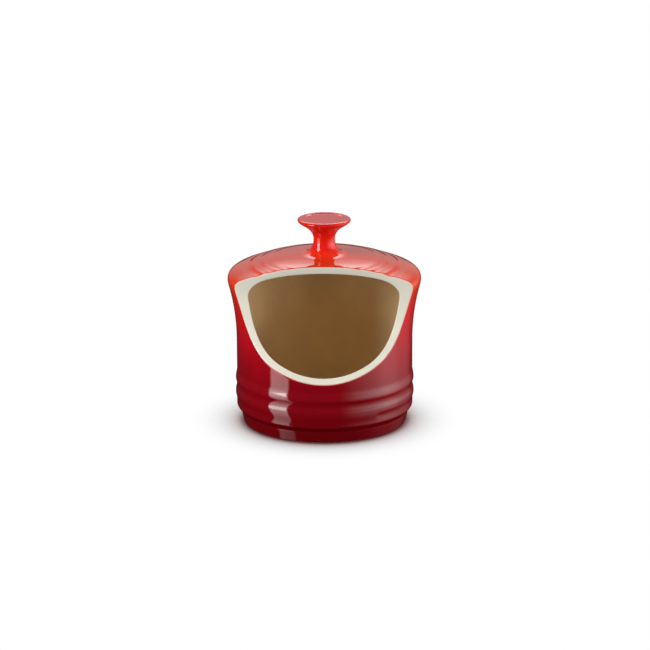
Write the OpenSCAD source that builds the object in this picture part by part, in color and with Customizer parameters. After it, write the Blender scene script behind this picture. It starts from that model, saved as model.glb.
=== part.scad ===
// Salt crock: a turned stoneware pot with a low domed top, a turned knob and a scooped mouth.
// Millimetres. +Z is up, the axis of the crock is Z, the mouth faces -Y,
// and the origin lies on the table at the middle of the foot.

/* [Foot] */
// Radius of the foot band at the level of the table
foot_r = 50.4; // [46:0.1:52]
// Radius of the foot band under the step
foot_top_r = 52.1; // [50:0.1:54]
// Height of the foot band
foot_band_h = 7.1; // [6:0.1:10]
// Height of the step from the foot band out to the lowest rib
step_h = 4.6; // [1.5:0.1:5]
// Height of bare clay that shows under the glaze
bare_h = 0.5; // [0.3:0.1:2]
// How far the bare clay is turned in at the table
bare_in = 0.7; // [0.2:0.1:2]
// Height of the hollow under the floor
hollow_h = 3.0; // [2:0.1:5]
// Width of the ring that the crock stands on
foot_ring_w = 6.0; // [3:0.5:12]

/* [Ribs] */
// Radius at the crests of the ribs
rib_r = 55.5; // [54:0.1:57]
// Radius of the lowest rib, under the lower groove
low_rib_r = 54.8; // [53.8:0.1:55.4]
// Height over which the lowest rib swells out to the crest above it
low_rib_fade_h = 7.3; // [4:0.1:8]
// Height at which the top rib starts to fade into the wall
rib_top_z = 27.4; // [26.8:0.1:34]
// Height over which the top rib fades into the wall
rib_fade_h = 7.0; // [3:0.1:12]
// Height of the upper groove, which runs all round
upper_groove_z = 24.2; // [23:0.1:25]
// Height of the lower groove, which stops at the plain panel
lower_groove_z = 14.6; // [14:0.1:16]
// Radius of the round tool that forms both grooves
groove_tool_r = 8.0; // [4:0.1:9]
// Depth of both grooves
groove_depth = 0.7; // [0.3:0.05:0.9]
// Angle round the front that the plain panel takes
panel_angle = 74; // [30:1:120]
// Thickness of the wall at the crests of the ribs
rib_wall_t = 4.7; // [3.8:0.1:7]

/* [Wall] */
// Radius of the wall at the waist
waist_r = 54.6; // [53:0.1:55.4]
// Height at which the wall starts to flare
flare_z = 52.5; // [40:0.5:60]
// Radius of the curve of the flare
flare_curve_r = 138; // [125:1:300]
// Height at which the flare turns into the shoulder
shoulder_z = 88.5; // [80:0.5:89]
// How far the shoulder keeps the wall's direction
shoulder_rise = 7.5; // [3:0.1:10]
// How far the shoulder keeps the top's direction
shoulder_reach = 10.2; // [6:0.1:14]
// Height of the joint between the wall and the top
joint_z = 90; // [89:0.1:91]

/* [Top] */
// Height of the middle of the top
top_z = 107.1; // [104:0.1:112]
// Radius at which the top meets the shoulder
top_edge_r = 47.5; // [46:0.1:50]
// Drop of the top from its middle to its edge
top_drop = 7.0; // [4:0.1:8]
// Power of the curve of the top, where 2 is a parabola
top_power = 2.8; // [2:0.1:4]
// Thickness of the top, measured upright
top_wall = 5.2; // [4:0.1:7]
// Number of ring grooves on the top
ring_count = 3; // [1:1:3]
// Radius of the innermost ring groove
ring_first_r = 36; // [30:0.5:37]
// Distance from one ring groove to the next
ring_pitch = 7.0; // [5:0.1:7.2]
// Depth of the ring grooves
ring_depth = 0.22; // [0.1:0.02:0.4]
// Radius of the round tool that forms the ring grooves
ring_tool_r = 7.0; // [3:0.1:9]

/* [Knob] */
// Radius of the stem where it is thinnest
stem_r = 6.6; // [5:0.1:9]
// Height of the thinnest place of the stem above the top
stem_h = 9.1; // [6:0.1:11]
// Radius of the knob's foot on the top
knob_foot_r = 12.4; // [10:0.1:16]
// How far the knob's foot keeps the level of the top
knob_foot_reach = 1.6; // [0.4:0.1:2.5]
// How far the stem keeps upright below its thinnest place
stem_drop = 7.3; // [2:0.1:8]
// How far the stem keeps upright above its thinnest place
stem_rise = 7.1; // [3:0.1:8]
// Height of the knob above the top
knob_h = 22.45; // [20:0.05:26]
// Radius of the knob
knob_r = 16.45; // [14:0.05:18]
// Radius of the rounding under the knob's rim
knob_rim_r = 1.7; // [1.2:0.05:2]
// Radius of the crest of the ring on the knob's top
crest_r = 13.2; // [12.4:0.1:14]
// Height of that crest above the knob's widest place
crest_h = 1.0; // [0.9:0.05:1.6]
// Angle of the knob's underside at its rim, above the level
under_angle = 50; // [40:1:56]
// How far the underside keeps that angle
under_reach = 3.0; // [2:0.1:5]
// Depth of the dish inside that ring
dish_depth = 0.45; // [0.2:0.05:0.8]
// Radius of the flat of the dish
dish_r = 11.4; // [8:0.1:12]
// Depth of the seat in the top that takes the knob's foot
seat_depth = 0.8; // [0.4:0.1:1.6]

/* [Inside] */
// Thickness of the wall at the waist
wall_t = 3.9; // [3.3:0.1:6.7]
// Least clay between the top of the foot band and the inside, measured level
foot_wall_t = 1.4; // [1:0.1:4]
// Thickness of the floor
floor_t = 6.0; // [5.5:0.1:8]
// Radius of the rounded corner at the floor
floor_corner_r = 6.0; // [3:0.1:10]
// Height at which the inside turns in under the top
inner_turn_z = 85; // [78:0.5:87]
// Radius of the curve of the inside's flare
inner_flare_curve_r = 350; // [250:10:900]
// Radius at which the inside corner meets the underside of the top
inner_edge_r = 43; // [38:0.5:46]
// How far the inside corner keeps the direction of the wall and of the top
inner_turn_reach = 5.5; // [3:0.1:8]

/* [Mouth] */
// Radius of the curve of the scoop, seen from the side
mouth_curve_r = 51.2; // [46:0.1:60]
// Distance from the axis to the deepest line of the scoop
mouth_back = 24.6; // [20:0.1:32]
// Height of the deepest line of the scoop
mouth_z = 87.9; // [82:0.1:94]
// Angle of the front lip above the level
lip_angle = 40; // [34:0.5:50]

/* [Glaze] */
// Thickness of the coats of glaze
glaze_t = 0.5; // [0.3:0.05:0.8]

/* [Hidden] */
$fn = 128;
// Margin by which a cutter passes the face that it cuts
over = 1;
// Segments in each curved stretch of a section
step_segments = 6;
low_rib_segments = 6;
fade_segments = 6;
flare_segments = 10;
shoulder_segments = 12;
top_segments = 12;
stem_segments = 10;
under_segments = 12;
knob_rim_segments = 5;
crest_segments = 8;
dish_segments = 6;
corner_segments = 8;
inner_turn_segments = 10;
mouth_segments = 24;

clay_bare = "#d9c9ad";
clay_body = "#d6c7ac";
glaze_wall = "#a00d18";
glaze_top = "#e0402a";
glaze_rim = "#e6e0cc";
glaze_inside = "#9a744b";

cavity_r = waist_r - wall_t;
rib_cavity_r = min(rib_r - rib_wall_t, foot_top_r - foot_wall_t);
floor_top_z = hollow_h + floor_t;
seat_joint_z = floor_top_z - glaze_t;
low_rib_z = foot_band_h + step_h;
top_foot_z = top_height(knob_foot_r);
knob_seat_z = top_foot_z - glaze_t - seat_depth;
knob_top_z = top_foot_z + knob_h;
rim_ring_r = knob_r - knob_rim_r;
rim_ring_z = knob_top_z - crest_h;
stem_foot = [knob_foot_r, top_foot_z];
stem_waist = [stem_r, top_foot_z + stem_h];
under_end = [rim_ring_r, rim_ring_z] + knob_rim_r * [sin(under_angle), -cos(under_angle)];
crock_reach = waist_r + flare_curve_r;
mouth_y = -(mouth_back + mouth_curve_r);
scoop_start = asin((top_z + over - mouth_z) / mouth_curve_r);
scoop_end = lip_angle - 90;
lip_run = 2 * waist_r;

// Share of a smooth step, from 0 to 1
function ease(s) = (1 - cos(180 * s)) / 2;
// A point along a curve that leaves a and reaches b along given handles
function blend(a, a_handle, b, b_handle, s) =
    pow(1 - s, 3) * a
    + 3 * pow(1 - s, 2) * s * (a + a_handle)
    + 3 * (1 - s) * s * s * (b + b_handle)
    + pow(s, 3) * b;
// Direction of that curve, and a point along it moved by t to its left
function blend_turn(a, a_handle, b, b_handle, s) =
    pow(1 - s, 2) * a_handle
    + 2 * (1 - s) * s * (b + b_handle - a - a_handle)
    - s * s * b_handle;
function blend_inset(a, a_handle, b, b_handle, s, t) =
    let (turn = blend_turn(a, a_handle, b, b_handle, s))
    blend(a, a_handle, b, b_handle, s) + t / norm(turn) * [-turn[1], turn[0]];
// Height and slope of the top at a radius, without its rings
function top_height(r) = top_z - top_drop * pow(r / top_edge_r, top_power);
function top_slope(r) = -top_drop * top_power / top_edge_r * pow(r / top_edge_r, top_power - 1);
// Radius of the foot band at a height
function foot_radius(z) = foot_r + (foot_top_r - foot_r) * z / foot_band_h;
// Radius of the flaring wall at a height, outside and inside
function flare_radius(z) =
    waist_r + flare_curve_r - sqrt(pow(flare_curve_r, 2) - pow(z - flare_z, 2));
function inner_flare_radius(z) =
    cavity_r + inner_flare_curve_r - sqrt(pow(inner_flare_curve_r, 2) - pow(z - flare_z, 2));
flare_turn = asin((shoulder_z - flare_z) / flare_curve_r);
inner_flare_turn = asin((inner_turn_z - flare_z) / inner_flare_curve_r);
top_turn = atan(top_slope(top_edge_r));

// Outside of the crock from the foot to the knob, inset by t
function foot_points(t) = [[foot_r - t, 0], [foot_top_r - t, foot_band_h]];
function step_points(t) = [for (i = [1:step_segments])
    let (s = i / step_segments)
    [foot_top_r + (low_rib_r - foot_top_r) * ease(s) - t, foot_band_h + step_h * s]];
function low_rib_points(t) = [for (i = [1:low_rib_segments])
    let (s = i / low_rib_segments)
    [low_rib_r + (rib_r - low_rib_r) * ease(s) - t, low_rib_z + low_rib_fade_h * s]];
function fade_points(t) = [for (i = [0:fade_segments])
    let (s = i / fade_segments)
    [rib_r + (waist_r - rib_r) * ease(s) - t, rib_top_z + rib_fade_h * s]];
function flare_points(t) = [for (i = [0:flare_segments])
    let (z = flare_z + (shoulder_z - flare_z) * i / flare_segments)
    [flare_radius(z) - t, z]];
function shoulder_points(t) = [for (i = [1:shoulder_segments])
    blend([flare_radius(shoulder_z) - t, shoulder_z],
          shoulder_rise * [sin(flare_turn), cos(flare_turn)],
          [top_edge_r, top_height(top_edge_r) - t],
          shoulder_reach * [cos(top_turn), sin(top_turn)],
          i / shoulder_segments)];
function top_points(t) = [for (i = [1:top_segments])
    let (r = top_edge_r + (knob_foot_r - top_edge_r) * i / top_segments)
    [r, top_height(r) - t]];
function outside_points(t) = concat(foot_points(t), step_points(t), low_rib_points(t),
    fade_points(t), flare_points(t), shoulder_points(t), top_points(t));

// Inside of the crock, grown by t
function floor_corner_points(t) = [for (i = [0:corner_segments])
    let (a = -90 + 90 * i / corner_segments)
    [rib_cavity_r - floor_corner_r + (floor_corner_r + t) * cos(a),
     floor_top_z + floor_corner_r + (floor_corner_r + t) * sin(a)]];
function inner_fade_points(t) = [for (i = [0:fade_segments])
    let (s = i / fade_segments)
    [rib_cavity_r + (cavity_r - rib_cavity_r) * ease(s) + t, rib_top_z + rib_fade_h * s]];
function inner_flare_points(t) = [for (i = [0:flare_segments])
    let (z = flare_z + (inner_turn_z - flare_z) * i / flare_segments)
    [inner_flare_radius(z) + t, z]];
function inner_turn_points(t) = let (under = atan(top_slope(inner_edge_r)))
    [for (i = [1:inner_turn_segments])
        blend([inner_flare_radius(inner_turn_z) + t, inner_turn_z],
              inner_turn_reach * [sin(inner_flare_turn), cos(inner_flare_turn)],
              [inner_edge_r, top_height(inner_edge_r) - top_wall + t],
              inner_turn_reach * [cos(under), sin(under)],
              i / inner_turn_segments)];
function under_top_points(t) = [for (i = [1:top_segments])
    let (r = inner_edge_r * (1 - i / top_segments))
    [r, top_height(r) - top_wall + t]];
function inside_points(t) = concat([[0, floor_top_z - t]], floor_corner_points(t),
    inner_fade_points(t), inner_flare_points(t), inner_turn_points(t), under_top_points(t));

// Outside of the knob from its foot to its top, inset by t
function stem_points(t) = [for (i = [0:stem_segments])
    blend_inset(stem_foot, [-knob_foot_reach, 0], stem_waist, [0, -stem_drop], i / stem_segments, t)];
function under_points(t) = [for (i = [1:under_segments])
    blend_inset(stem_waist, [0, stem_rise],
                under_end, -under_reach * [cos(under_angle), sin(under_angle)],
                i / under_segments, t)];
function knob_rim_points(t) = [for (i = [1:knob_rim_segments])
    let (a = (under_angle - 90) * (1 - i / knob_rim_segments))
    [rim_ring_r, rim_ring_z] + (knob_rim_r - t) * [cos(a), sin(a)]];
function crest_points(t) = [for (i = [1:crest_segments])
    let (a = 90 * i / crest_segments)
    [crest_r + (knob_r - crest_r - t) * cos(a), rim_ring_z + (crest_h - t) * sin(a)]];
function dish_points(t) = [for (i = [1:dish_segments])
    let (s = i / dish_segments)
    [crest_r + (dish_r - crest_r) * s, knob_top_z - dish_depth * ease(s) - t]];

// Side view of the mouth's edge: round the scoop from the top, then straight out through the lip
function scoop_points(t) = [for (i = [0:mouth_segments])
    let (a = scoop_start + (scoop_end - scoop_start) * i / mouth_segments)
    [mouth_y, mouth_z] + (mouth_curve_r + t) * [cos(a), sin(a)]];
function mouth_line(t) = let (scoop = scoop_points(t))
    concat(scoop, [scoop[mouth_segments] - lip_run * [cos(lip_angle), sin(lip_angle)]]);
function backwards(list) = [for (i = [len(list) - 1:-1:0]) list[i]];

// Half section of the whole crock without its knob, inset by t
module outside_section(t) {
    difference() {
        polygon(concat([[0, 0]], outside_points(t), [[0, top_foot_z - t]]));
        translate([rib_r + groove_tool_r - groove_depth, upper_groove_z])
            circle(groove_tool_r + t);
        for (k = [0:ring_count - 1]) {
            ring_r = ring_first_r + k * ring_pitch;
            translate([ring_r, top_height(ring_r) + ring_tool_r - ring_depth])
                circle(ring_tool_r + t);
        }
    }
}

// Half section of the hollow inside, grown by t
module inside_section(t) {
    polygon(inside_points(t));
}

// Half section of everything between two heights
module level_band(low_z, high_z) {
    translate([0, low_z])
        square([crock_reach, high_z - low_z]);
}

// Half section of the knob above its foot, inset by t
module knob_section(t, foot_z) {
    polygon(concat([[0, foot_z], [knob_foot_r, foot_z]], stem_points(t), under_points(t),
        knob_rim_points(t), crest_points(t), dish_points(t), [[0, knob_top_z - dish_depth - t]]));
}

// Side view of everything that the mouth cuts away, grown by t
module mouth_section(t) {
    line = mouth_line(t);
    front = -crock_reach;
    polygon(concat(line, [[front, line[len(line) - 1][1]], [front, line[0][1]]]));
}

// Draws a side view right across the crock
module across() {
    rotate([90, 0, 90])
        linear_extrude(2 * crock_reach, center = true)
            children();
}

// Cutter for the lower groove, which stops at the plain panel, grown by t
module lower_groove_cut(t) {
    plain_angle = panel_angle - 2 * asin(t / rib_r);
    translate([0, 0, lower_groove_z])
        rotate([0, 0, -90 + plain_angle / 2])
            rotate_extrude(angle = 360 - plain_angle)
                translate([rib_r + groove_tool_r - groove_depth, 0])
                    circle(groove_tool_r + t);
}

// Bare clay ring under the floor
module foot_ring() {
    table_r = foot_r - glaze_t - bare_in;
    bare_top_r = foot_radius(bare_h) - glaze_t;
    color(clay_bare)
        rotate_extrude()
            polygon([[table_r - foot_ring_w, 0],
                     [table_r, 0],
                     [bare_top_r, bare_h],
                     [foot_radius(hollow_h) - glaze_t, hollow_h],
                     [table_r - foot_ring_w, hollow_h]]);
}

// Clay slab that closes the pot, standing on the foot ring
module pot_floor() {
    color(clay_body)
        rotate_extrude()
            intersection() {
                outside_section(glaze_t);
                level_band(hollow_h, seat_joint_z);
            }
}

// Turned clay wall, luted on the floor
module pot_wall() {
    color(clay_body)
        difference() {
            rotate_extrude()
                difference() {
                    intersection() {
                        outside_section(glaze_t);
                        level_band(seat_joint_z, joint_z);
                    }
                    inside_section(glaze_t);
                }
            lower_groove_cut(glaze_t);
            across()
                mouth_section(glaze_t);
        }
}

// Clay dome, luted on the wall, with a seat for the knob
module domed_top() {
    color(clay_body)
        difference() {
            rotate_extrude()
                difference() {
                    intersection() {
                        outside_section(glaze_t);
                        level_band(joint_z, top_z);
                    }
                    inside_section(glaze_t);
                    translate([0, knob_seat_z])
                        square([knob_foot_r, seat_depth + over]);
                }
            across()
                mouth_section(glaze_t);
        }
}

// Turned clay knob, luted into the seat in the top
module knob() {
    color(clay_body)
        rotate_extrude()
            knob_section(glaze_t, knob_seat_z);
}

// Red coat on the wall and the foot band, thickened behind the lower groove before that is cut
module wall_glaze() {
    color(glaze_wall)
        difference() {
            union() {
                rotate_extrude()
                    difference() {
                        intersection() {
                            outside_section(0);
                            level_band(bare_h, joint_z);
                        }
                        outside_section(glaze_t);
                    }
                intersection() {
                    lower_groove_cut(glaze_t);
                    rotate_extrude()
                        outside_section(glaze_t / 2);
                }
            }
            lower_groove_cut(0);
            across()
                mouth_section(glaze_t);
        }
}

// Orange-red coat on the shoulder and the top, up to the knob's foot
module top_glaze() {
    color(glaze_top)
        difference() {
            rotate_extrude()
                difference() {
                    intersection() {
                        outside_section(0);
                        translate([knob_foot_r, joint_z])
                            square([crock_reach, top_z - joint_z]);
                    }
                    outside_section(glaze_t);
                }
            across()
                mouth_section(glaze_t);
        }
}

// Orange-red coat on the knob
module knob_glaze() {
    color(glaze_top)
        rotate_extrude()
            difference() {
                knob_section(0, top_foot_z - glaze_t);
                knob_section(glaze_t, knob_seat_z);
            }
}

// Cream coat on the cut edge of the mouth
module rim_glaze() {
    color(glaze_rim)
        intersection() {
            rotate_extrude()
                difference() {
                    outside_section(0);
                    inside_section(0);
                }
            across()
                polygon(concat(mouth_line(glaze_t), backwards(mouth_line(0))));
        }
}

// Sand brown coat on the whole inside
module inner_glaze() {
    color(glaze_inside)
        difference() {
            rotate_extrude()
                difference() {
                    inside_section(glaze_t);
                    inside_section(0);
                }
            across()
                mouth_section(glaze_t);
        }
}

foot_ring();
pot_floor();
pot_wall();
domed_top();
knob();
wall_glaze();
top_glaze();
knob_glaze();
rim_glaze();
inner_glaze();
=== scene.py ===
import math

import bpy
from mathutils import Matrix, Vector


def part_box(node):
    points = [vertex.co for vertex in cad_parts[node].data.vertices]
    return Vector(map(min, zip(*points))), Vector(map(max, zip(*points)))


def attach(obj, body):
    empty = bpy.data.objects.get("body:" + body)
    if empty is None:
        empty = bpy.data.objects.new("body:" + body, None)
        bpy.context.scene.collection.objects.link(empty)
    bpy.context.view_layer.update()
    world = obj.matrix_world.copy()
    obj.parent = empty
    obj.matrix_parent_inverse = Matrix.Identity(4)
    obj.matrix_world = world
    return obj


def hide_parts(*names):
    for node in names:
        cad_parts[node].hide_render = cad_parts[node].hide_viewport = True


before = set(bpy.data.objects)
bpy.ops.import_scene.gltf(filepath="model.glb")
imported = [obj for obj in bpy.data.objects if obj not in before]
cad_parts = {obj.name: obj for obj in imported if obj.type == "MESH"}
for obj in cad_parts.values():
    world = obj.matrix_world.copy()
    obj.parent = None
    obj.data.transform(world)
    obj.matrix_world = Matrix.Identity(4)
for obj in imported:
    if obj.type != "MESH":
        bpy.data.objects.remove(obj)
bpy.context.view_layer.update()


# Foot ring
# The bare ring of buff stoneware that the crock stands on, trimmed on the wheel when leather hard.
# It is wiped clean of glaze, so that the pot doesn't stick to the kiln shelf.
mm = 0.001
weld = 0.0001 * mm
smooth_angle = math.radians(40)
foot_ring_w = 6 * mm
foot_r = 50.4 * mm
foot_top_r = 52.1 * mm
foot_band_h = 7.1 * mm
bare_h = 0.5 * mm
bare_in = 0.7 * mm
glaze_t = 0.5 * mm
foot_edge_round = 0.25 * mm
foot_steps = 192


def foot_radius(z):
    """Radius of the glazed foot band at a height."""
    return foot_r + (foot_top_r - foot_r) * z / foot_band_h


def turn_on_wheel(name, section, steps):
    """Draws a half section by extruding one vertex along it, and spins it round the crock's axis."""
    bpy.ops.object.select_all(action="DESELECT")
    bpy.ops.mesh.primitive_plane_add(size=mm, location=(0, 0, 0))
    piece = bpy.context.object
    piece.name = piece.data.name = name
    bpy.ops.object.mode_set(mode="EDIT")
    bpy.ops.mesh.select_mode(type="VERT")
    bpy.ops.mesh.select_all(action="SELECT")
    bpy.ops.mesh.merge(type="CENTER")
    bpy.ops.transform.translate(value=(section[0][0], 0, section[0][1]))
    for (r, z), (next_r, next_z) in zip(section, section[1:]):
        bpy.ops.mesh.extrude_region_move(
            TRANSFORM_OT_translate={"value": (next_r - r, 0, next_z - z)})
    quarter = math.pi / 2
    bpy.ops.mesh.select_all(action="SELECT")
    bpy.ops.mesh.spin(steps=steps // 4, angle=quarter, center=(0, 0, 0), axis=(0, 0, 1))
    bpy.ops.mesh.select_all(action="SELECT")
    bpy.ops.mesh.spin(steps=3, dupli=True, angle=3 * quarter, center=(0, 0, 0), axis=(0, 0, 1))
    bpy.ops.mesh.select_all(action="SELECT")
    bpy.ops.mesh.remove_doubles(threshold=weld)
    bpy.ops.mesh.normals_make_consistent(inside=False)
    bpy.ops.object.mode_set(mode="OBJECT")
    return piece


def soften(piece):
    """Shades a piece smooth, apart from its sharp edges."""
    bpy.ops.object.select_all(action="DESELECT")
    piece.select_set(True)
    bpy.context.view_layer.objects.active = piece
    bpy.ops.object.shade_smooth_by_angle(angle=smooth_angle)


def new_material(name):
    """Starts a material, and gives it with its node tree and its shader."""
    material = bpy.data.materials.new(name)
    material.use_nodes = True
    tree = material.node_tree
    return material, tree, tree.nodes["Principled BSDF"]


def dress(piece, material):
    """Gives a piece one material."""
    piece.data.materials.clear()
    piece.data.materials.append(material)


def add_node(tree, kind, **settings):
    """Adds a node to a tree and sets its properties."""
    node = tree.nodes.new(kind)
    for name, value in settings.items():
        setattr(node, name, value)
    return node


def set_ramp(ramp, stops):
    """Sets the stops of a colour ramp, as pairs of a place and a colour."""
    elements = ramp.color_ramp.elements
    while len(elements) < len(stops):
        elements.new(1)
    for element, (place, colour) in zip(elements, stops):
        element.position = place
        element.color = (*colour, 1)


table_r = foot_r - glaze_t - bare_in
foot_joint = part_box("foot_ring")[1].z
foot_section = [
    (table_r - foot_ring_w, foot_joint),
    (table_r - foot_ring_w, foot_edge_round),
    (table_r - foot_ring_w + foot_edge_round, 0),
    (table_r - foot_edge_round, 0),
    (table_r, foot_edge_round),
    (foot_radius(bare_h) - glaze_t, bare_h),
    (foot_radius(foot_joint) - glaze_t, foot_joint),
    (table_r - foot_ring_w, foot_joint),
]
bare_foot = turn_on_wheel("bare_foot", foot_section, foot_steps)
soften(bare_foot)

# Clay that the fire has left dry: buff, with iron specks and the fine rings that the trimming tool cut
bare_clay, tree, shader = new_material("bare_clay")
place = add_node(tree, "ShaderNodeTexCoord")
grain = add_node(tree, "ShaderNodeTexNoise")
grain.inputs["Scale"].default_value = 900
grain.inputs["Detail"].default_value = 6
specks = add_node(tree, "ShaderNodeTexVoronoi")
specks.inputs["Scale"].default_value = 420
speck_mask = add_node(tree, "ShaderNodeMapRange")
speck_mask.inputs["From Min"].default_value = 0.05
speck_mask.inputs["From Max"].default_value = 0.16
trim_rings = add_node(tree, "ShaderNodeTexWave", wave_type="RINGS", rings_direction="Z")
trim_rings.inputs["Scale"].default_value = 330
trim_rings.inputs["Distortion"].default_value = 1.5
clay_colour = add_node(tree, "ShaderNodeValToRGB")
set_ramp(clay_colour, [(0.3, (0.50, 0.39, 0.26)), (0.7, (0.66, 0.55, 0.40))])
iron = add_node(tree, "ShaderNodeMix", data_type="RGBA")
iron.inputs["A"].default_value = (0.22, 0.12, 0.06, 1)
relief = add_node(tree, "ShaderNodeMath", operation="MULTIPLY_ADD")
relief.inputs[1].default_value = 0.5
bump = add_node(tree, "ShaderNodeBump")
bump.inputs["Distance"].default_value = 0.06 * mm
for texture in (grain, specks, trim_rings):
    tree.links.new(place.outputs["Object"], texture.inputs["Vector"])
tree.links.new(grain.outputs["Fac"], clay_colour.inputs["Fac"])
tree.links.new(specks.outputs["Distance"], speck_mask.inputs["Value"])
tree.links.new(speck_mask.outputs["Result"], iron.inputs["Factor"])
tree.links.new(clay_colour.outputs["Color"], iron.inputs["B"])
tree.links.new(iron.outputs["Result"], shader.inputs["Base Color"])
tree.links.new(trim_rings.outputs["Fac"], relief.inputs[0])
tree.links.new(grain.outputs["Fac"], relief.inputs[2])
tree.links.new(relief.outputs["Value"], bump.inputs["Height"])
tree.links.new(bump.outputs["Normal"], shader.inputs["Normal"])
shader.inputs["Roughness"].default_value = 0.85

dress(bare_foot, bare_clay)
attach(bare_foot, "root")
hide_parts("foot_ring")


# Clay members
# The floor, the turned wall, the domed top and the knob, of the same stoneware, luted together with
# slip and fired as one pot. The coats cover them all over, apart from the underside of the floor, so
# their solids stay.
for member in ("pot_floor", "pot_wall", "domed_top", "knob"):
    dress(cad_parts[member], bare_clay)


# Wall coat
# The red gloss glaze on the wall and the foot band, sprayed on and fired, about half a millimetre thick.
# It follows the turned ribs, stops in a rounded edge just above the table, and darkens towards the foot.
step_h = 4.6 * mm
low_rib_r = 54.8 * mm
low_rib_fade_h = 7.3 * mm
rib_r = 55.5 * mm
rib_top_z = 27.4 * mm
rib_fade_h = 7.0 * mm
upper_groove_z = 24.2 * mm
lower_groove_z = 14.6 * mm
groove_tool_r = 8.0 * mm
groove_depth = 0.7 * mm
groove_edge = 0.3 * mm
groove_end_angle = math.radians(38.5)
waist_r = 54.6 * mm
flare_z = 52.5 * mm
flare_curve_r = 138 * mm
shoulder_z = 88.5 * mm
shoulder_rise = 7.5 * mm
shoulder_reach = 10.2 * mm
top_z = 107.1 * mm
top_edge_r = 47.5 * mm
top_drop = 7.0 * mm
top_power = 2.8
ring_radii = (36 * mm, 43 * mm, 50 * mm)
ring_tool_r = 7.0 * mm
ring_depth = 0.14 * mm
knob_foot_r = 16.0 * mm
joint_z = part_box("top_glaze")[0].z
joint_overlap = 0.03 * mm
glaze_edge_round = 0.35 * mm
wheel_steps = 384


def ease(share):
    """Share of a smooth step, from 0 to 1."""
    return (1 - math.cos(math.pi * share)) / 2


def shares(count):
    """Even shares from 1/count to 1."""
    return [i / count for i in range(1, count + 1)]


def span(first, last, count):
    """Even steps from a first value, which is left out, to a last one."""
    return [first + (last - first) * s for s in shares(count)]


def swell(first_r, last_r, first_z, rise, count):
    """Points of a section that eases from one radius to another while it rises."""
    return [(first_r + (last_r - first_r) * ease(s), first_z + rise * s) for s in shares(count)]


def blend(a, a_handle, b, b_handle, share):
    """A point along a curve that leaves a and reaches b along given handles."""
    weights = ((1 - share) ** 3, 3 * (1 - share) ** 2 * share, 3 * (1 - share) * share ** 2, share ** 3)
    corners = (a, (a[0] + a_handle[0], a[1] + a_handle[1]), (b[0] + b_handle[0], b[1] + b_handle[1]), b)
    return tuple(sum(w * corner[axis] for w, corner in zip(weights, corners)) for axis in (0, 1))


def top_height(r):
    """Height of the domed top at a radius, without its rings."""
    return top_z - top_drop * (r / top_edge_r) ** top_power


def flare_radius(z):
    """Radius of the flaring wall at a height."""
    return waist_r + flare_curve_r - math.sqrt(flare_curve_r ** 2 - (z - flare_z) ** 2)


def tool_pass(depth):
    """How deep a tool has to pass to leave a groove of a given depth with soft edges."""
    return depth - groove_edge ** 2 / (4 * depth)


def groove_tool_path_r():
    """Radius at which the middle of the groove tool goes round the wall."""
    return rib_r + groove_tool_r - tool_pass(groove_depth)


def soft_push(away, tool_r):
    """How far a round tool pushes a point away from its middle, with a soft edge to the groove."""
    depth = tool_r - away.length
    return away.normalized() * (depth + math.hypot(depth, groove_edge)) / 2


def press(section, tool_place, tool_r):
    """Pushes a half section clear of a round tool."""
    pressed = []
    for r, z in section:
        push = soft_push(Vector((r - tool_place[0], z - tool_place[1])), tool_r)
        pressed.append((r + push.x, z + push.y))
    return pressed


def outside_section():
    """The whole outside, from the edge of the glaze at the foot to the foot of the knob."""
    points = [(foot_radius(bare_h), bare_h)]
    points += [(foot_radius(z), z) for z in span(bare_h, foot_band_h, 10)]
    points += swell(foot_top_r, low_rib_r, foot_band_h, step_h, 12)
    step_top = foot_band_h + step_h
    points += swell(low_rib_r, rib_r, step_top, low_rib_fade_h, 20)
    crest_z = step_top + low_rib_fade_h
    points += [(rib_r, z) for z in span(crest_z, rib_top_z, 20)]
    points += swell(rib_r, waist_r, rib_top_z, rib_fade_h, 12)
    fade_top = rib_top_z + rib_fade_h
    points += [(waist_r, z) for z in span(fade_top, flare_z, 8)]
    points += [(flare_radius(z), z) for z in span(flare_z, shoulder_z, 24)]
    flare_turn = math.asin((shoulder_z - flare_z) / flare_curve_r)
    top_turn = math.atan(-top_drop * top_power / top_edge_r)
    wall_end = (flare_radius(shoulder_z), shoulder_z)
    rise = (shoulder_rise * math.sin(flare_turn), shoulder_rise * math.cos(flare_turn))
    top_start = (top_edge_r, top_height(top_edge_r))
    reach = (shoulder_reach * math.cos(top_turn), shoulder_reach * math.sin(top_turn))
    points += [blend(wall_end, rise, top_start, reach, s) for s in shares(36)]
    points += [(r, top_height(r)) for r in span(top_edge_r, knob_foot_r, 64)]
    points = press(points, (groove_tool_path_r(), upper_groove_z), groove_tool_r)
    for ring_r in ring_radii:
        ring_tool_z = top_height(ring_r) + ring_tool_r - tool_pass(ring_depth)
        points = press(points, (ring_r, ring_tool_z), ring_tool_r)
    return points


def split_at_height(section, z):
    """Cuts a rising section in two at a height, with a narrow row on each side of the cut."""
    for i, ((r0, z0), (r1, z1)) in enumerate(zip(section, section[1:])):
        if z0 < z <= z1:
            slope = (r1 - r0) / (z1 - z0)
            heights = (z - joint_overlap, z, z + joint_overlap)
            below, cut, above = [(r0 + slope * (h - z0), h) for h in heights]
            return section[:i + 1] + [below, cut], [cut, above] + section[i + 1:]


def thicken(piece, thickness, offset):
    """Makes a surface a closed coat, inwards for an offset of -1 and outwards for 1."""
    bpy.context.view_layer.objects.active = piece
    coat = piece.modifiers.new("coat", "SOLIDIFY")
    coat.thickness = thickness
    coat.offset = offset
    coat.use_even_offset = True
    bpy.ops.object.modifier_apply(modifier=coat.name)


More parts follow.
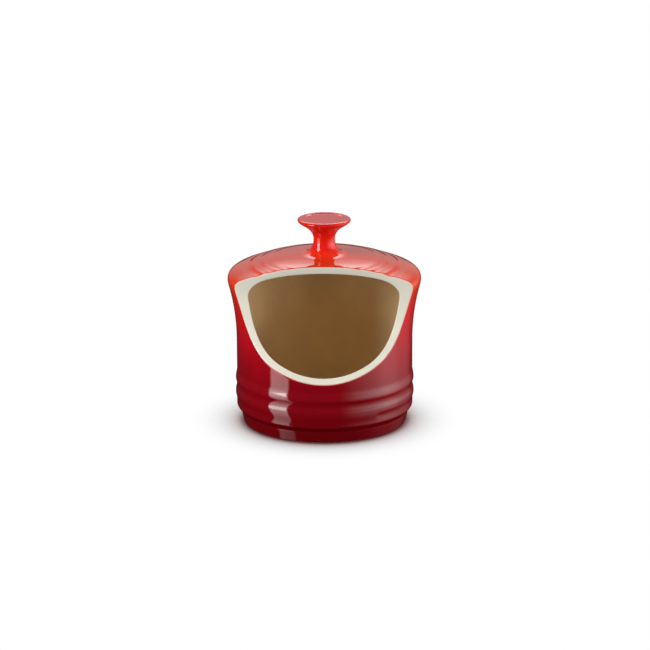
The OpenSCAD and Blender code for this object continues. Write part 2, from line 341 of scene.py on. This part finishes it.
def press_lower_groove(piece):
    """Presses the lower groove into the wall, round to both ends of the plain panel at the front."""
    path_r = groove_tool_path_r()
    for vertex in piece.data.vertices:
        angle = math.atan2(vertex.co.x, -vertex.co.y)
        tool_angle = math.copysign(max(abs(angle), groove_end_angle), angle)
        tool = Vector((path_r * math.sin(tool_angle), -path_r * math.cos(tool_angle), lower_groove_z))
        vertex.co += soft_push(vertex.co - tool, groove_tool_r)


def round_foot_edge(piece):
    """Rounds the edge where the glaze stops above the table."""
    bpy.context.view_layer.objects.active = piece
    bpy.ops.object.mode_set(mode="EDIT")
    bpy.ops.mesh.select_all(action="DESELECT")
    bpy.ops.object.mode_set(mode="OBJECT")
    edge_r = foot_radius(bare_h) - weld - glaze_t / 2
    for vertex in piece.data.vertices:
        on_edge = abs(vertex.co.z - bare_h) < glaze_t / 4
        vertex.select = on_edge and math.hypot(vertex.co.x, vertex.co.y) > edge_r
    bpy.ops.object.mode_set(mode="EDIT")
    bpy.ops.mesh.select_mode(type="VERT")
    bpy.ops.mesh.select_mode(type="EDGE")
    bpy.ops.mesh.bevel(offset=glaze_edge_round, segments=4, affect="EDGES")
    bpy.ops.object.mode_set(mode="OBJECT")


outside = outside_section()
wall_section, top_section = split_at_height(outside, joint_z)
wall_coat = turn_on_wheel("wall_coat", wall_section, wheel_steps)
press_lower_groove(wall_coat)
thicken(wall_coat, glaze_t, -1)
round_foot_edge(wall_coat)

# The mouth is cut with one tool, a scoop with a straight lip, drawn from the side and extruded right across
scoop_r = 51.2 * mm
scoop_y = -(24.6 * mm + scoop_r)
scoop_z = 87.9 * mm
scoop_end_angle = math.radians(75)
lip_angle = math.radians(40)
lip_run = 110 * mm
rim_round = 1.0 * mm
cutter_segments = 96
cutter_width = 160 * mm


def mouth_y(z, grow):
    """Place of the mouth's edge at a height, seen from the side, for a scoop grown by so much."""
    reach = scoop_r + grow
    lip_z = scoop_z - reach * math.cos(lip_angle)
    if z < lip_z:
        return scoop_y + reach * math.sin(lip_angle) - (lip_z - z) / math.tan(lip_angle)
    return scoop_y + math.sqrt(reach ** 2 - (z - scoop_z) ** 2)


def mouth_cutter(grow):
    """A block with the outline of the mouth, seen from the side."""
    reach = scoop_r + grow
    arc_turn = lip_angle - math.pi / 2 - scoop_end_angle
    arc = [scoop_end_angle + arc_turn * i / cutter_segments for i in range(cutter_segments + 1)]
    outline = [(scoop_y + reach * math.cos(a), scoop_z + reach * math.sin(a)) for a in arc]
    lip_y, lip_z = outline[-1]
    outline.append((lip_y - lip_run * math.cos(lip_angle), lip_z - lip_run * math.sin(lip_angle)))
    outline.append((outline[-1][0], outline[0][1]))
    bpy.ops.object.select_all(action="DESELECT")
    bpy.ops.mesh.primitive_circle_add(vertices=len(outline), fill_type="NGON")
    cutter = bpy.context.object
    for vertex, (y, z) in zip(cutter.data.vertices, outline):
        vertex.co = (-cutter_width / 2, y, z)
    bpy.ops.object.mode_set(mode="EDIT")
    bpy.ops.mesh.select_all(action="SELECT")
    bpy.ops.mesh.extrude_region_move(TRANSFORM_OT_translate={"value": (cutter_width, 0, 0)})
    bpy.ops.mesh.select_all(action="SELECT")
    bpy.ops.mesh.normals_make_consistent(inside=False)
    bpy.ops.object.mode_set(mode="OBJECT")
    return cutter


def cut_mouth(piece):
    """Cuts the mouth out of a coat, back to where the rounded edge of the rim starts."""
    cutter = mouth_cutter(rim_round)
    bpy.context.view_layer.objects.active = piece
    cut = piece.modifiers.new("mouth", "BOOLEAN")
    cut.operation = "DIFFERENCE"
    cut.solver = "EXACT"
    cut.object = cutter
    bpy.ops.object.modifier_apply(modifier=cut.name)
    bpy.data.meshes.remove(cutter.data)


cut_mouth(wall_coat)
soften(wall_coat)

# What the fire does to every glaze: soft clouds of colour, pin specks, and a skin that isn't quite even
fired_glaze = bpy.data.node_groups.new("fired_glaze", "ShaderNodeTree")
for name, kind in (("Colour", "Color"), ("Cloud", "Float"), ("Speck", "Float"), ("Gloss", "Float")):
    fired_glaze.interface.new_socket(name, in_out="INPUT", socket_type="NodeSocket" + kind)
for name, kind in (("Colour", "Color"), ("Roughness", "Float"), ("Height", "Float")):
    fired_glaze.interface.new_socket(name, in_out="OUTPUT", socket_type="NodeSocket" + kind)
given = add_node(fired_glaze, "NodeGroupInput")
result = add_node(fired_glaze, "NodeGroupOutput")
place = add_node(fired_glaze, "ShaderNodeTexCoord")
clouds = add_node(fired_glaze, "ShaderNodeTexNoise")
clouds.inputs["Scale"].default_value = 45
clouds.inputs["Detail"].default_value = 3
cloud_level = add_node(fired_glaze, "ShaderNodeMapRange")
cloud_level.inputs["From Min"].default_value = 0.3
cloud_level.inputs["From Max"].default_value = 0.7
cloud_level.inputs["To Min"].default_value = -1
pins = add_node(fired_glaze, "ShaderNodeTexVoronoi")
pins.inputs["Scale"].default_value = 260
pin_mask = add_node(fired_glaze, "ShaderNodeMapRange")
pin_mask.inputs["From Min"].default_value = 0.03
pin_mask.inputs["From Max"].default_value = 0.09
pin_mask.inputs["To Min"].default_value = 1
pin_mask.inputs["To Max"].default_value = 0
cloud_share = add_node(fired_glaze, "ShaderNodeMath", operation="MULTIPLY_ADD")
cloud_share.inputs[2].default_value = 1
pin_share = add_node(fired_glaze, "ShaderNodeMath", operation="MULTIPLY")
level = add_node(fired_glaze, "ShaderNodeMath", operation="SUBTRACT")
tint = add_node(fired_glaze, "ShaderNodeVectorMath", operation="SCALE")
skin = add_node(fired_glaze, "ShaderNodeTexNoise")
skin.inputs["Scale"].default_value = 160
skin.inputs["Detail"].default_value = 2
gloss_level = add_node(fired_glaze, "ShaderNodeMapRange")
gloss_level.inputs["From Min"].default_value = 0.25
gloss_level.inputs["From Max"].default_value = 0.75
gloss_level.inputs["To Min"].default_value = 0.7
gloss_level.inputs["To Max"].default_value = 1.3
gloss_share = add_node(fired_glaze, "ShaderNodeMath", operation="MULTIPLY")
links = fired_glaze.links
for texture in (clouds, pins, skin):
    links.new(place.outputs["Object"], texture.inputs["Vector"])
links.new(clouds.outputs["Fac"], cloud_level.inputs["Value"])
links.new(cloud_level.outputs["Result"], cloud_share.inputs[0])
links.new(given.outputs["Cloud"], cloud_share.inputs[1])
links.new(pins.outputs["Distance"], pin_mask.inputs["Value"])
links.new(pin_mask.outputs["Result"], pin_share.inputs[0])
links.new(given.outputs["Speck"], pin_share.inputs[1])
links.new(cloud_share.outputs["Value"], level.inputs[0])
links.new(pin_share.outputs["Value"], level.inputs[1])
links.new(given.outputs["Colour"], tint.inputs["Vector"])
links.new(level.outputs["Value"], tint.inputs["Scale"])
links.new(tint.outputs["Vector"], result.inputs["Colour"])
links.new(skin.outputs["Fac"], gloss_level.inputs["Value"])
links.new(gloss_level.outputs["Result"], gloss_share.inputs[0])
links.new(given.outputs["Gloss"], gloss_share.inputs[1])
links.new(gloss_share.outputs["Value"], result.inputs["Roughness"])
links.new(skin.outputs["Fac"], result.inputs["Height"])

# The red of the crock by its height: near black red at the foot, through cherry to orange at the knob
fade_stops = [
    (4 * mm, (0.148, 0.0014, 0.004)),
    (12 * mm, (0.175, 0.0014, 0.0045)),
    (20 * mm, (0.195, 0.0014, 0.005)),
    (36 * mm, (0.23, 0.0015, 0.006)),
    (50 * mm, (0.33, 0.002, 0.0085)),
    (62 * mm, (0.45, 0.004, 0.0085)),
    (74 * mm, (0.56, 0.008, 0.0075)),
    (86 * mm, (0.63, 0.02, 0.007)),
    (94 * mm, (0.70, 0.045, 0.007)),
    (106 * mm, (0.73, 0.042, 0.007)),
    (111 * mm, (0.70, 0.012, 0.006)),
]
fade_span = fade_stops[-1][0]
fade_waver = 6 * mm
red_fade = bpy.data.node_groups.new("red_fade", "ShaderNodeTree")
red_fade.interface.new_socket("Waver", in_out="INPUT", socket_type="NodeSocketFloat")
red_fade.interface.new_socket("Colour", in_out="OUTPUT", socket_type="NodeSocketColor")
given = add_node(red_fade, "NodeGroupInput")
result = add_node(red_fade, "NodeGroupOutput")
place = add_node(red_fade, "ShaderNodeTexCoord")
split = add_node(red_fade, "ShaderNodeSeparateXYZ")
drift = add_node(red_fade, "ShaderNodeTexNoise")
drift.inputs["Scale"].default_value = 18
drift_level = add_node(red_fade, "ShaderNodeMath", operation="SUBTRACT")
drift_level.inputs[1].default_value = 0.5
height = add_node(red_fade, "ShaderNodeMath", operation="MULTIPLY_ADD")
fade_share = add_node(red_fade, "ShaderNodeMath", operation="DIVIDE")
fade_share.inputs[1].default_value = fade_span
fade = add_node(red_fade, "ShaderNodeValToRGB")
set_ramp(fade, [(h / fade_span, colour) for h, colour in fade_stops])
links = red_fade.links
links.new(place.outputs["Object"], split.inputs["Vector"])
links.new(place.outputs["Object"], drift.inputs["Vector"])
links.new(drift.outputs["Fac"], drift_level.inputs[0])
links.new(drift_level.outputs["Value"], height.inputs[0])
links.new(given.outputs["Waver"], height.inputs[1])
links.new(split.outputs["Z"], height.inputs[2])
links.new(height.outputs["Value"], fade_share.inputs[0])
links.new(fade_share.outputs["Value"], fade.inputs["Fac"])
links.new(fade.outputs["Color"], result.inputs["Colour"])


def place_group(tree, group, **values):
    """Places a shared node group in a material, with its own values."""
    node = add_node(tree, "ShaderNodeGroup", node_tree=group)
    for name, value in values.items():
        node.inputs[name].default_value = value
    return node


def finish_glaze(tree, shader, colour_socket, cloud, speck, gloss, skin_relief):
    """Fires a colour as a gloss glaze and feeds it to the shader."""
    fired = place_group(tree, fired_glaze, Cloud=cloud, Speck=speck, Gloss=gloss)
    bump = add_node(tree, "ShaderNodeBump")
    bump.inputs["Distance"].default_value = skin_relief
    tree.links.new(colour_socket, fired.inputs["Colour"])
    tree.links.new(fired.outputs["Colour"], shader.inputs["Base Color"])
    tree.links.new(fired.outputs["Roughness"], shader.inputs["Roughness"])
    tree.links.new(fired.outputs["Height"], bump.inputs["Height"])
    tree.links.new(bump.outputs["Normal"], shader.inputs["Normal"])
    shader.inputs["IOR"].default_value = 1.52


red_glaze, tree, shader = new_material("red_glaze")
fade = place_group(tree, red_fade, Waver=fade_waver)
finish_glaze(tree, shader, fade.outputs["Colour"],
             cloud=0.06, speck=0.15, gloss=0.06, skin_relief=0.012 * mm)
dress(wall_coat, red_glaze)
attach(wall_coat, "root")
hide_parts("wall_glaze")


# Top coat
# The same red glaze on the shoulder and the low domed top, thinner and hotter in colour than on the wall.
# It follows three shallow rings that were turned round the top, and runs up to the foot of the knob.
top_section[-1:-1] = [(knob_foot_r + joint_overlap, top_height(knob_foot_r + joint_overlap))]
top_coat = turn_on_wheel("top_coat", top_section, wheel_steps)
thicken(top_coat, glaze_t, -1)
cut_mouth(top_coat)
soften(top_coat)
dress(top_coat, red_glaze)
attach(top_coat, "root")
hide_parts("top_glaze")


# Knob coat
# The red glaze on the turned knob: a spool with a hollow neck, and a soft ring round a shallow dish on top.
# The knob is luted into its seat, so the coat runs into the coat of the top without a step.
stem_r = 6.6 * mm
stem_h = 9.1 * mm
stem_drop = 7.3 * mm
stem_rise = 7.1 * mm
knob_foot_reach = 4.8 * mm
knob_seat_r = 12.4 * mm
knob_h = 22.45 * mm
knob_r = 16.45 * mm
knob_rim_r = 1.7 * mm
crest_r = 13.2 * mm
crest_h = 1.0 * mm
under_angle = math.radians(50)
under_reach = 3.0 * mm
dish_depth = 0.45 * mm
dish_r = 11.4 * mm
knob_steps = 192


def arc_points(centre, radius, first, last, count):
    """Points along an arc, without its first end."""
    angles = span(first, last, count)
    return [(centre[0] + radius * math.cos(a), centre[1] + radius * math.sin(a)) for a in angles]


knob_foot = (knob_foot_r, top_height(knob_foot_r))
knob_foot_slope = top_drop * top_power / top_edge_r * (knob_foot_r / top_edge_r) ** (top_power - 1)
foot_handle = (-knob_foot_reach, knob_foot_reach * knob_foot_slope)
stem_waist = (stem_r, top_height(knob_seat_r) + stem_h)
knob_top_z = top_height(knob_seat_r) + knob_h
knob_rim = (knob_r - knob_rim_r, knob_top_z - crest_h)
under_turn = (math.cos(under_angle), math.sin(under_angle))
under_end = (knob_rim[0] + knob_rim_r * under_turn[1], knob_rim[1] - knob_rim_r * under_turn[0])
under_handle = (-under_reach * under_turn[0], -under_reach * under_turn[1])
knob_section = [knob_foot, (knob_foot_r - joint_overlap, knob_foot[1])]
knob_section += [blend(knob_foot, foot_handle, stem_waist, (0, -stem_drop), s) for s in shares(40)]
knob_section += [blend(stem_waist, (0, stem_rise), under_end, under_handle, s) for s in shares(32)]
knob_section += arc_points(knob_rim, knob_rim_r, under_angle - math.pi / 2, 0, 12)
crest_angles = span(0, math.pi / 2, 24)
knob_section += [(crest_r + (knob_r - crest_r) * math.cos(a), knob_rim[1] + crest_h * math.sin(a))
                 for a in crest_angles]
knob_section += [(crest_r + (dish_r - crest_r) * s, knob_top_z - dish_depth * ease(s)) for s in shares(16)]
knob_section += [(dish_r * (1 - s), knob_top_z - dish_depth) for s in shares(8)]
knob_coat = turn_on_wheel("knob_coat", knob_section, knob_steps)
thicken(knob_coat, glaze_t, -1)
soften(knob_coat)
dress(knob_coat, red_glaze)
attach(knob_coat, "root")
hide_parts("knob_glaze")


# Inside coat
# The sand brown gloss glaze on the whole inside: the floor, its rounded corner, the wall and the
# underside of the top. It was poured in and swilled round, so it is even, and it meets the cream of
# the rim at the inner edge.
cavity_r = 50.7 * mm
inner_flare_curve_r = 350 * mm
floor_z = 9 * mm
floor_corner_r = 6 * mm
inner_turn_z = 85 * mm
inner_edge_r = 43 * mm
inner_turn_reach = 5.5 * mm
top_wall = 5.2 * mm


def inner_flare_radius(z):
    """Radius of the flaring inside at a height."""
    return cavity_r + inner_flare_curve_r - math.sqrt(inner_flare_curve_r ** 2 - (z - flare_z) ** 2)


def inside_section():
    """The whole inside, from the middle of the floor to the middle of the top."""
    corner = (cavity_r - floor_corner_r, floor_z + floor_corner_r)
    points = [(corner[0] * s, floor_z) for s in [0, *shares(14)]]
    points += arc_points(corner, floor_corner_r, -math.pi / 2, 0, 12)
    points += [(cavity_r, z) for z in span(corner[1], flare_z, 16)]
    points += [(inner_flare_radius(z), z) for z in span(flare_z, inner_turn_z, 24)]
    under_slope = -top_drop * top_power / top_edge_r * (inner_edge_r / top_edge_r) ** (top_power - 1)
    under_turn = math.atan(under_slope)
    flare_turn = math.asin((inner_turn_z - flare_z) / inner_flare_curve_r)
    rise = (inner_turn_reach * math.sin(flare_turn), inner_turn_reach * math.cos(flare_turn))
    turn_start = (inner_flare_radius(inner_turn_z), inner_turn_z)
    turn_end = (inner_edge_r, top_height(inner_edge_r) - top_wall)
    reach = (inner_turn_reach * math.cos(under_turn), inner_turn_reach * math.sin(under_turn))
    points += [blend(turn_start, rise, turn_end, reach, s) for s in shares(20)]
    points += [(inner_edge_r * (1 - s), top_height(inner_edge_r * (1 - s)) - top_wall) for s in shares(24)]
    return points


inside = inside_section()
inside_coat = turn_on_wheel("inside_coat", inside, wheel_steps)
thicken(inside_coat, glaze_t, 1)
cut_mouth(inside_coat)
soften(inside_coat)

sand_glaze, tree, shader = new_material("sand_glaze")
place = add_node(tree, "ShaderNodeTexCoord")
mottle = add_node(tree, "ShaderNodeTexNoise")
mottle.inputs["Scale"].default_value = 60
mottle.inputs["Detail"].default_value = 5
sand = add_node(tree, "ShaderNodeValToRGB")
set_ramp(sand, [(0.3, (0.75, 0.56, 0.32)), (0.7, (0.79, 0.60, 0.35))])
tree.links.new(place.outputs["Object"], mottle.inputs["Vector"])
tree.links.new(mottle.outputs["Fac"], sand.inputs["Fac"])
finish_glaze(tree, shader, sand.outputs["Color"],
             cloud=0.05, speck=0.12, gloss=0.12, skin_relief=0.015 * mm)
dress(inside_coat, sand_glaze)
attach(inside_coat, "root")
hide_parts("inner_glaze")


# Rim coat
# The cream glaze on the cut edge of the mouth, which the potter sponged round at both corners.
# Red meets it on the outer corner and thins to pink there, and a painted highlight makes the inner corner a
# bright line.
rim_stations = 200
curve_samples = 6000
halvings = 60
corner_rows = 7
face_rows = 4


def mouth_edge(section, grow, count):
    """Right half of the line where the scoop cuts a turned surface, from the lip up to the top."""
    runs = [0]
    for (r0, z0), (r1, z1) in zip(section, section[1:]):
        runs.append(runs[-1] + math.hypot(r1 - r0, z1 - z0))

    def at(run):
        i = max(1, next((k for k, reached in enumerate(runs) if reached >= run), len(runs) - 1))
        share = (run - runs[i - 1]) / (runs[i] - runs[i - 1])
        (r0, z0), (r1, z1) = section[i - 1], section[i]
        return r0 + (r1 - r0) * share, z0 + (z1 - z0) * share

    def open_front(run):
        r, z = at(run)
        return r + mouth_y(z, grow) > 0

    def crossing(shut, open_run):
        for _ in range(halvings):
            middle = (shut + open_run) / 2
            if open_front(middle):
                open_run = middle
            else:
                shut = middle
        return open_run

    cut = [k for k, run in enumerate(runs) if open_front(run)]
    lip = crossing(runs[cut[0] - 1], runs[cut[0]])
    top = crossing(runs[cut[-1] + 1], runs[cut[-1]])
    line = []
    for k in range(count + 1):
        r, z = at(lip + (top - lip) * ease(k / count))
        y = mouth_y(z, grow)
        line.append(Vector((math.sqrt(max(0, r * r - y * y)), y, z)))
    return line


def nearest_along(points, line):
    """For each point in turn, the nearest point of a line that runs the same way."""
    found = []
    k = 0
    for point in points[:-1]:
        while k + 1 < len(line) and (line[k + 1] - point).length < (line[k] - point).length:
            k += 1
        found.append(line[k])
    return [line[0]] + found[1:] + [line[-1]]


def rounded(start, corner, end):
    """Points round a corner, from a start on one side to an end on the other."""
    steps = [0, *shares(corner_rows)]
    return [start * (1 - s) ** 2 + corner * 2 * s * (1 - s) + end * s ** 2 for s in steps]


outer_edge = mouth_edge(outside, 0, rim_stations)
outer_seam = nearest_along(outer_edge, mouth_edge(outside, rim_round, curve_samples))
inner_edge = nearest_along(outer_edge, mouth_edge(inside, 0, curve_samples))
inner_seam = nearest_along(inner_edge, mouth_edge(inside, rim_round, curve_samples))
rim_rows = []
for seam, edge, far_edge, far_seam in zip(outer_seam, outer_edge, inner_edge, inner_seam):
    across = (far_edge - edge).normalized() * rim_round
    near_corner = rounded(seam, edge, edge + across)
    far_corner = rounded(far_edge - across, far_edge, far_seam)
    face = [near_corner[-1].lerp(far_corner[0], s) for s in shares(face_rows)[:-1]]
    rim_rows.append(near_corner + face + far_corner)

bpy.ops.object.select_all(action="DESELECT")
row_count = len(rim_rows[0]) - 1
bpy.ops.mesh.primitive_grid_add(x_subdivisions=2 * rim_stations, y_subdivisions=row_count, size=1)
rim_coat = bpy.context.object
rim_coat.name = rim_coat.data.name = "rim_coat"
for vertex in rim_coat.data.vertices:
    station = round((vertex.co.x + 0.5) * 2 * rim_stations)
    row = round((vertex.co.y + 0.5) * row_count)
    side = 1 if station <= rim_stations else -1
    spot = rim_rows[station if side == 1 else 2 * rim_stations - station][row]
    vertex.co = (side * spot.x, spot.y, spot.z)
bpy.ops.object.mode_set(mode="EDIT")
bpy.ops.mesh.select_all(action="SELECT")
bpy.ops.mesh.remove_doubles(threshold=weld)
bpy.ops.object.mode_set(mode="OBJECT")
thicken(rim_coat, glaze_t, -1)
soften(rim_coat)

# Across the rim, from its outer seam to its inner seam: red, a thin pink line, cream, a painted highlight
# as a brighter cream line on the inner corner, and sand
cream_glaze, tree, shader = new_material("cream_glaze")
fade = place_group(tree, red_fade, Waver=fade_waver)
flow = add_node(tree, "ShaderNodeUVMap", uv_map="UVMap")
split = add_node(tree, "ShaderNodeSeparateXYZ")
place = add_node(tree, "ShaderNodeTexCoord")
waver = add_node(tree, "ShaderNodeTexNoise")
waver.inputs["Scale"].default_value = 220
across_rim = add_node(tree, "ShaderNodeMath", operation="MULTIPLY_ADD")
across_rim.inputs[1].default_value = 0.05
# The brighter cream stop at 0.90 is a painted highlight on the inner corner, not a colour of the glaze
rim_break_and_highlight = add_node(tree, "ShaderNodeValToRGB")
set_ramp(rim_break_and_highlight, [(0.22, (0.78, 0.41, 0.33)), (0.32, (0.77, 0.74, 0.63)), (0.80, (0.77, 0.74, 0.62)),
                      (0.90, (0.84, 0.81, 0.70)), (0.99, (0.70, 0.58, 0.42))])
red_share = add_node(tree, "ShaderNodeMapRange", interpolation_type="SMOOTHSTEP")
red_share.inputs["From Min"].default_value = 0.12
red_share.inputs["From Max"].default_value = 0.24
meeting = add_node(tree, "ShaderNodeMix", data_type="RGBA")
tree.links.new(flow.outputs["UV"], split.inputs["Vector"])
tree.links.new(place.outputs["Object"], waver.inputs["Vector"])
tree.links.new(waver.outputs["Fac"], across_rim.inputs[0])
tree.links.new(split.outputs["Y"], across_rim.inputs[2])
tree.links.new(across_rim.outputs["Value"], rim_break_and_highlight.inputs["Fac"])
tree.links.new(across_rim.outputs["Value"], red_share.inputs["Value"])
tree.links.new(red_share.outputs["Result"], meeting.inputs["Factor"])
tree.links.new(fade.outputs["Colour"], meeting.inputs["A"])
tree.links.new(rim_break_and_highlight.outputs["Color"], meeting.inputs["B"])
finish_glaze(tree, shader, meeting.outputs["Result"],
             cloud=0.03, speck=0.08, gloss=0.16, skin_relief=0.015 * mm)
dress(rim_coat, cream_glaze)
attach(rim_coat, "root")
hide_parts("rim_glaze")


# Studio
# A white floor, which the camera sees with a painted shadow, tinted by a painted red bounce, where ambient
# occlusion finds the crock near; a tall soft light on the left, soft lamps in front and on the right, and a
# pale room that is brightest behind the crock. The glaze doesn't mirror the floor, but the lights go on
# below it, as their image in a polished table does.
floor_size = 16
shade_reach = 35 * mm
floor_grey = (0.26, 0.26, 0.26, 1)
bpy.ops.object.select_all(action="DESELECT")
bpy.ops.mesh.primitive_plane_add(size=floor_size, location=(0, 0, 0))
floor = bpy.context.object
floor.name = floor.data.name = "floor"
floor.visible_glossy = False
floor_white = bpy.data.materials.new("floor_white")
floor_white.use_nodes = True
floor_white.cycles.emission_sampling = "NONE"
tree = floor_white.node_tree
tree.nodes.clear()
seen = add_node(tree, "ShaderNodeLightPath")
bounce = add_node(tree, "ShaderNodeBsdfDiffuse")
bounce.inputs["Color"].default_value = floor_grey
shade = add_node(tree, "ShaderNodeAmbientOcclusion", samples=16)
shade.inputs["Distance"].default_value = shade_reach
# Painted shadow: the camera sees the floor darker near the crock, by ambient occlusion, tinted red as a
# painted bounce from the glaze
painted_shadow_colour = add_node(tree, "ShaderNodeValToRGB")
set_ramp(painted_shadow_colour, [(0.33, (0.06, 0.03, 0.03)), (0.42, (0.25, 0.16, 0.16)), (0.50, (0.43, 0.34, 0.35)),
                        (0.60, (0.64, 0.59, 0.59)), (0.72, (0.82, 0.82, 0.82)), (0.86, (0.96, 0.96, 0.96)),
                        (0.97, (1, 1, 1))])
painted_shadow_sheet = add_node(tree, "ShaderNodeEmission")
either = add_node(tree, "ShaderNodeMixShader")
surface = add_node(tree, "ShaderNodeOutputMaterial")
tree.links.new(seen.outputs["Is Camera Ray"], either.inputs["Fac"])
tree.links.new(bounce.outputs["BSDF"], either.inputs[1])
tree.links.new(shade.outputs["AO"], painted_shadow_colour.inputs["Fac"])
tree.links.new(painted_shadow_colour.outputs["Color"], painted_shadow_sheet.inputs["Color"])
tree.links.new(painted_shadow_sheet.outputs["Emission"], either.inputs[2])
tree.links.new(either.outputs["Shader"], surface.inputs["Surface"])
dress(floor, floor_white)

light_distance = 1.5


def softbox(name, azimuth, width, low, high, radiance):
    """An upright area light, given by the angles at which the crock sees it, in degrees."""
    turn = math.radians(azimuth)
    bottom, top = [light_distance * math.tan(math.radians(angle)) for angle in (low, high)]
    lamp = bpy.data.lights.new(name, "AREA")
    lamp.shape = "RECTANGLE"
    lamp.size = 2 * light_distance * math.tan(math.radians(width / 2))
    lamp.size_y = top - bottom
    lamp.energy = radiance * math.pi * lamp.size * lamp.size_y
    box = bpy.data.objects.new(name, lamp)
    bpy.context.collection.objects.link(box)
    box.location = (light_distance * math.sin(turn), -light_distance * math.cos(turn), (bottom + top) / 2)
    box.rotation_euler = (math.pi / 2, 0, turn)
    return box


softbox("left_light", azimuth=-61, width=26, low=2, high=50, radiance=9.5)
front_light = softbox("front_light", azimuth=0, width=100, low=45, high=70, radiance=0.7)
front_light.visible_glossy = False
right_light = softbox("right_light", azimuth=82, width=70, low=2, high=18, radiance=8.6)
right_light.visible_glossy = False

# The room, as levels by azimuth, in degrees from the front to the right, and by the sine of the elevation
room_round = [(-180, 0), (-158, 0.02), (-140, 0.02), (20, 0.015), (30, 0.14), (40, 0.40), (61, 0.85),
              (86, 1.39), (103, 1.05), (114, 0.64), (125, 0.44), (140, 0.22), (152, 0.05), (180, 0)]
room_rise = [(-0.75, 0.0), (-0.66, 0.02), (-0.55, 0.12), (-0.28, 1.0), (0.0, 2.4), (0.2, 1.6),
             (0.40, 1.1), (0.5, 0.2), (1.0, 0.0)]
strip_round = [(-180, 0), (-75.5, 0), (-73, 3.1), (-49, 3.1), (-46.5, 0), (180, 0)]
strip_rise = [(-0.75, 0.0), (-0.64, 0.27), (-0.28, 1.0), (-0.1, 1.4), (0.0, 2.0), (0.035, 2.0),
              (0.04, 0.0)]
back_rise = [(-0.05, 0.0), (0.02, 0.4), (0.35, 0.65), (0.45, 1.5), (0.52, 3.1), (0.60, 4.6),
             (0.66, 0.1), (1.0, 0.0)]
back_round = [(-180, 1), (-170, 1), (-160, 0.6), (-145, 0.15), (-125, 0), (125, 0), (145, 0.15),
              (160, 0.6), (170, 1), (180, 1)]
top_rise = [(-1, 0), (0.35, 0), (0.7, 1), (1, 1)]
overhead = 0.03
world = bpy.data.worlds.new("room")
bpy.context.scene.world = world
world.use_nodes = True
tree = world.node_tree
room = tree.nodes["Background"]
room.inputs["Color"].default_value = (1, 1, 1, 1)


def level_ramp(source, low, high, stops):
    """A smooth level from a value, given as pairs of that value and the level."""
    span = add_node(tree, "ShaderNodeMapRange")
    span.inputs["From Min"].default_value = low
    span.inputs["From Max"].default_value = high
    peak = max(level for _, level in stops)
    ramp = add_node(tree, "ShaderNodeValToRGB")
    set_ramp(ramp, [((value - low) / (high - low), (level / peak,) * 3) for value, level in stops])
    scaled = add_node(tree, "ShaderNodeMath", operation="MULTIPLY")
    scaled.inputs[1].default_value = peak
    tree.links.new(source, span.inputs["Value"])
    tree.links.new(span.outputs["Result"], ramp.inputs["Fac"])
    tree.links.new(ramp.outputs["Color"], scaled.inputs[0])
    return scaled.outputs["Value"]


def combine(operation, first, second):
    """A Math node on two values, either of which may be a number."""
    node = add_node(tree, "ShaderNodeMath", operation=operation)
    for socket, value in zip(node.inputs, (first, second)):
        if isinstance(value, (int, float)):
            socket.default_value = value
        else:
            tree.links.new(value, socket)
    return node.outputs["Value"]


place = add_node(tree, "ShaderNodeTexCoord")
split = add_node(tree, "ShaderNodeSeparateXYZ")
tree.links.new(place.outputs["Generated"], split.inputs["Vector"])
azimuth = combine("ARCTAN2", split.outputs["X"], combine("MULTIPLY", split.outputs["Y"], -1))


def by_azimuth(stops):
    """A level by azimuth, in degrees."""
    return level_ramp(azimuth, -math.pi, math.pi, [(math.radians(angle), level) for angle, level in stops])


def by_rise(stops):
    """A level by the sine of the elevation."""
    return level_ramp(split.outputs["Z"], -1, 1, stops)


side_level = combine("MULTIPLY", by_azimuth(room_round), by_rise(room_rise))
strip_level = combine("MULTIPLY", by_azimuth(strip_round), by_rise(strip_rise))
back_level = combine("MULTIPLY", by_azimuth(back_round), by_rise(back_rise))
top_level = combine("MULTIPLY", by_rise(top_rise), overhead)
low_level = combine("ADD", side_level, strip_level)
high_level = combine("ADD", back_level, top_level)
tree.links.new(combine("ADD", low_level, high_level), room.inputs["Strength"])

# The camera stands where the photographer stood: a little above the rim, with a long lens
camera_place = Vector((0.0291, -1.9197, 0.6279))
camera_aim = Vector((0.0003, 0, 0.0607))
camera_roll = math.radians(-0.23)
lens = bpy.data.cameras.new("camera")
lens.lens = 178.5
camera = bpy.data.objects.new("camera", lens)
bpy.context.collection.objects.link(camera)
camera.location = camera_place
camera.rotation_euler = (camera_aim - camera_place).to_track_quat("-Z", "Y").to_euler()
camera.rotation_euler.rotate_axis("Z", camera_roll)
bpy.context.scene.camera = camera
bpy.context.scene.view_settings.view_transform = "Standard"
